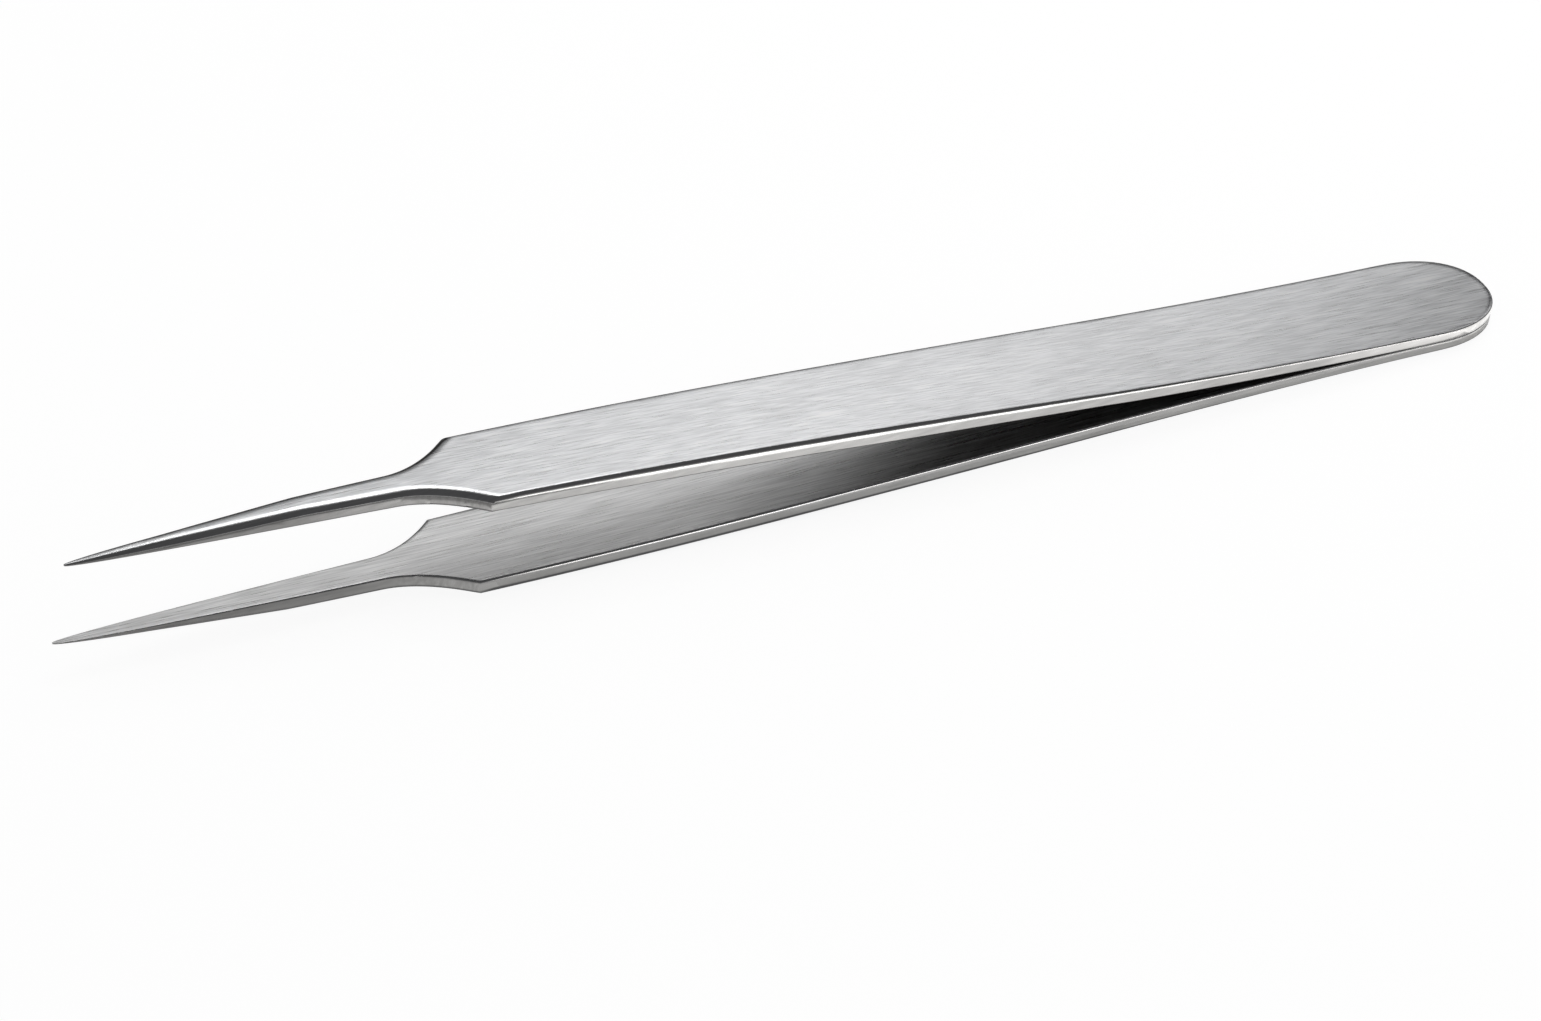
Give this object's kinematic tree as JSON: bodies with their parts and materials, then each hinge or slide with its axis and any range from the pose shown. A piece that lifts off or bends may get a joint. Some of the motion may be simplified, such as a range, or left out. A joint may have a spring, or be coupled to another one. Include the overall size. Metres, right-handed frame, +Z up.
{
  "type": "tweezers",
  "caption": "Fine-point tweezers: slim bowed steel blades welded at a rounded tail, stepped in at the shoulders and tapering to needle points.",
  "frame": {"origin": "centre of the bounding box's base, on the bench that the pair lies on", "axes": "+X along the pair towards the welded tail, so the points are towards -X; +Y across the blades; +Z up from the bench"},
  "size_m": [0.1101, 0.0084, 0.0088],
  "materials": {
    "steel": "satin, finely brushed along the blades"
  },
  "bodies": {
    "root": {"upper_blade": "steel", "lower_blade": "steel"}
  },
  "joints": []
}
